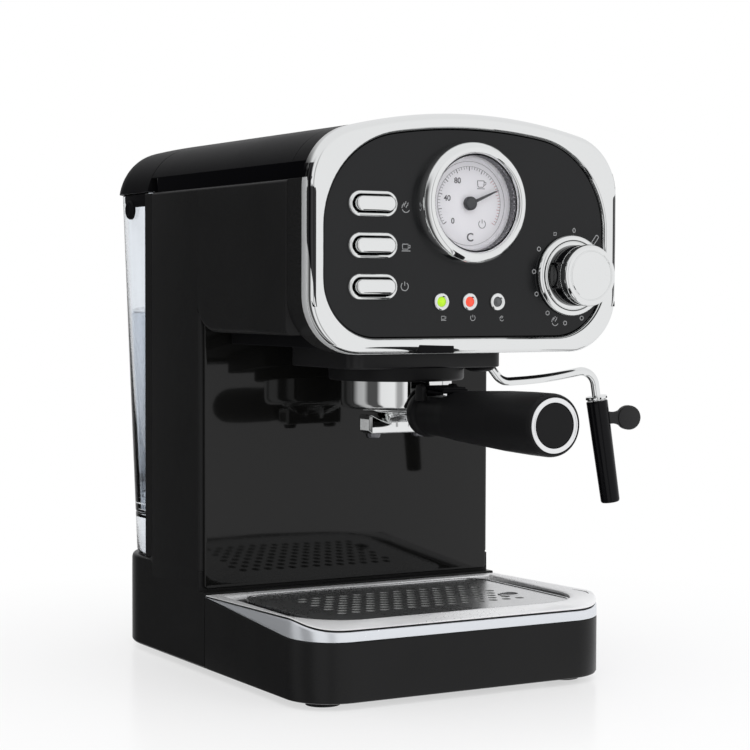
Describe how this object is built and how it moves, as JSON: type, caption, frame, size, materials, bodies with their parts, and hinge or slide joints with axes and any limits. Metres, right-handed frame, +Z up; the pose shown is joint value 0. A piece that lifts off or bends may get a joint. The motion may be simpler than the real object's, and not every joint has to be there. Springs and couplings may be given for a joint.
{
  "type": "espresso machine",
  "caption": "Compact pump espresso machine with arched chrome-rimmed control head, thermometer, portafilter, steam wand, pull-out drip tray and clear rear water tank.",
  "frame": {"origin": "on the counter plane, under the middle of the overall box at rest", "axes": "+Z up; the front with the control panel faces -Y; +X is to the right of a person facing the front"},
  "size_m": [0.2262, 0.349, 0.3045],
  "materials": {
    "black_metal": "satin black paint",
    "black_plastic": "fine matte black",
    "gloss_black": "polished black",
    "graphite": "matte graphite",
    "chrome": "polished",
    "steel": "brushed",
    "aluminium": "cast",
    "brass": "machined",
    "rubber": "matte",
    "clear": "clear",
    "dial": "printed dial",
    "silicone": "silicone",
    "board": "circuit board",
    "green_lens": "lit lens",
    "red_lens": "lit lens",
    "clear_lens": "unlit lens"
  },
  "bodies": {
    "machine": {"base_plate": "black_plastic", "bayonet_ring": "aluminium", "bezel_tab": "gloss_black", "body_shell": "black_metal", "boiler": "aluminium", "button_surrounds": "chrome", "chassis_screws": "steel", "circuit_boards": "board", "control_panel": "graphite", "cord_gland": "black_plastic", "front_bezel": "chrome", "front_frame": "black_plastic", "gauge_bezel": "chrome", "gauge_dial": "dial", "gauge_glass": "clear", "group_collar": "black_plastic", "group_gasket": "rubber", "inner_pipes": "silicone", "knob_ring": "chrome", "led_power": "red_lens", "led_ready": "green_lens", "led_rings": "chrome", "led_steam": "clear_lens", "pump_body": "steel", "pump_bracket": "steel", "rubber_feet": "rubber", "shower_screen": "steel", "splash_panel": "gloss_black", "steam_valve": "brass", "switch_blocks": "black_plastic", "tank_seat": "black_plastic", "thermostats": "brass", "top_cover": "black_plastic", "wand_socket": "brass"},
    "steam_button": {"steam_button": "chrome"},
    "brew_button": {"brew_button": "chrome"},
    "power_button": {"power_button": "chrome"},
    "needle": {"gauge_needle": "steel"},
    "steam_knob": {"knob_grip": "black_plastic", "knob_cap": "chrome", "valve_spindle": "steel"},
    "portafilter": {"portafilter_bowl": "chrome", "filter_basket": "steel", "twin_spout": "chrome", "handle_grip": "black_plastic", "handle_end_ring": "chrome", "handle_end_cap": "black_plastic"},
    "clip": {"basket_clip": "black_plastic"},
    "drip_tray": {"tray_housing": "black_plastic", "tray_trim_band": "chrome", "tray_rim": "chrome"},
    "grid": {"drip_grid": "steel"},
    "tank": {"water_tank": "clear", "tank_pins": "black_plastic", "tank_valve": "black_plastic"},
    "lid": {"tank_lid": "black_plastic"},
    "poppet": {"valve_poppet": "silicone"},
    "wand": {"steam_wand_tube": "chrome"},
    "sleeve": {"frother_sleeve": "gloss_black"},
    "piston": {"pump_piston": "steel"}
  },
  "joints": [
    {"name": "steam_button_press", "type": "slide", "parent": "machine", "child": "steam_button", "axis": [0, 1, 0], "range_m": [0, 0.0025], "stiffness_N_per_m": 300, "springref_m": -0.001},
    {"name": "brew_button_press", "type": "slide", "parent": "machine", "child": "brew_button", "axis": [0, 1, 0], "range_m": [0, 0.0025], "stiffness_N_per_m": 300, "springref_m": -0.001},
    {"name": "power_button_press", "type": "slide", "parent": "machine", "child": "power_button", "axis": [0, 1, 0], "range_m": [0, 0.0025], "stiffness_N_per_m": 300, "springref_m": -0.001},
    {"name": "needle_turn", "type": "hinge", "parent": "machine", "child": "needle", "pos_m": [-0.01779, -0.095, 0.258], "axis": [0, 1, 0], "range_deg": [-192, 58]},
    {"name": "steam_knob_turn", "type": "hinge", "parent": "machine", "child": "steam_knob", "pos_m": [0.04721, -0.095, 0.221], "axis": [0, -1, 0], "range_deg": [0, 270]},
    {"name": "portafilter_turn", "type": "hinge", "parent": "machine", "child": "portafilter", "pos_m": [-0.01779, -0.0215, 0.1638], "axis": [0, 0, 1], "range_deg": [-45, 0]},
    {"name": "clip_flip", "type": "hinge", "parent": "portafilter", "child": "clip", "pos_m": [-0.01779, -0.0645, 0.1616], "axis": [1, 0, 0], "range_deg": [-20, 0]},
    {"name": "tray_pull", "type": "slide", "parent": "machine", "child": "drip_tray", "axis": [0, -1, 0], "range_m": [0, 0.12]},
    {"name": "grid_lift", "type": "slide", "parent": "drip_tray", "child": "grid", "axis": [0, 0, 1], "range_m": [0, 0.025]},
    {"name": "tank_lift", "type": "slide", "parent": "machine", "child": "tank", "axis": [0, 0, 1], "range_m": [0, 0.25]},
    {"name": "lid_turn", "type": "hinge", "parent": "tank", "child": "lid", "pos_m": [-0.01779, 0.1655, 0.2605], "axis": [1, 0, 0], "range_deg": [-70, 0]},
    {"name": "poppet_lift", "type": "slide", "parent": "tank", "child": "poppet", "axis": [0, 0, 1], "range_m": [0, 0.004], "stiffness_N_per_m": 60, "springref_m": -0.002},
    {"name": "wand_turn", "type": "hinge", "parent": "machine", "child": "wand", "pos_m": [0.02021, -0.0475, 0.18], "axis": [0, 0, 1], "range_deg": [-55, 40]},
    {"name": "sleeve_pull", "type": "slide", "parent": "wand", "child": "sleeve", "axis": [0.1455, -0.0364, -0.9887], "range_m": [0, 0.02]},
    {"name": "piston_stroke", "type": "slide", "parent": "machine", "child": "piston", "axis": [0, 0, 1], "range_m": [0, 0.003], "stiffness_N_per_m": 900, "springref_m": -0.0005}
  ]
}
